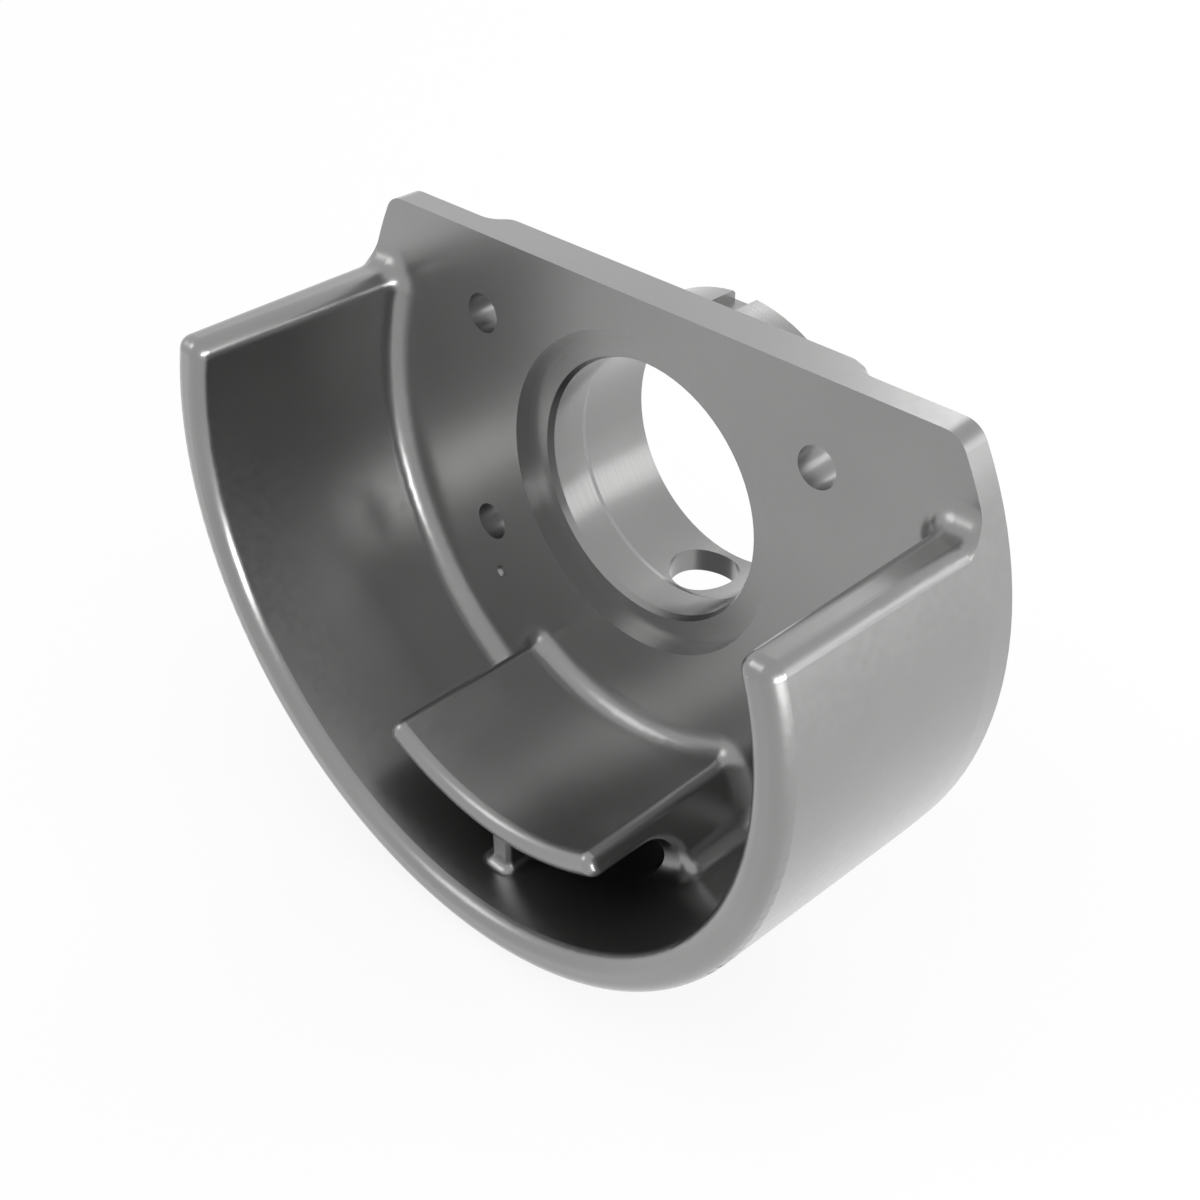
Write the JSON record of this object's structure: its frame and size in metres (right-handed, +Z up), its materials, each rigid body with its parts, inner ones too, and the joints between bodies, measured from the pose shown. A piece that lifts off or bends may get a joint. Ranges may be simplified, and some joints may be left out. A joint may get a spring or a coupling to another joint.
{
  "type": "bearing housing",
  "caption": "Cast flanged bearing housing with a stepped bore, a hub behind its plate, and an open-topped shroud with a curved ledge in front.",
  "frame": {"origin": "on the bore axis, in the plane of the plate's front face", "axes": "+Y along the bore from the shroud towards the hub, +Z up to the plate's flat top, +X to the right"},
  "size_m": [0.204, 0.1024, 0.1546],
  "materials": {
    "cast_metal": "satin grey, smooth cast skin with machined seats"
  },
  "bodies": {
    "root": {"housing": "cast_metal"}
  },
  "joints": []
}
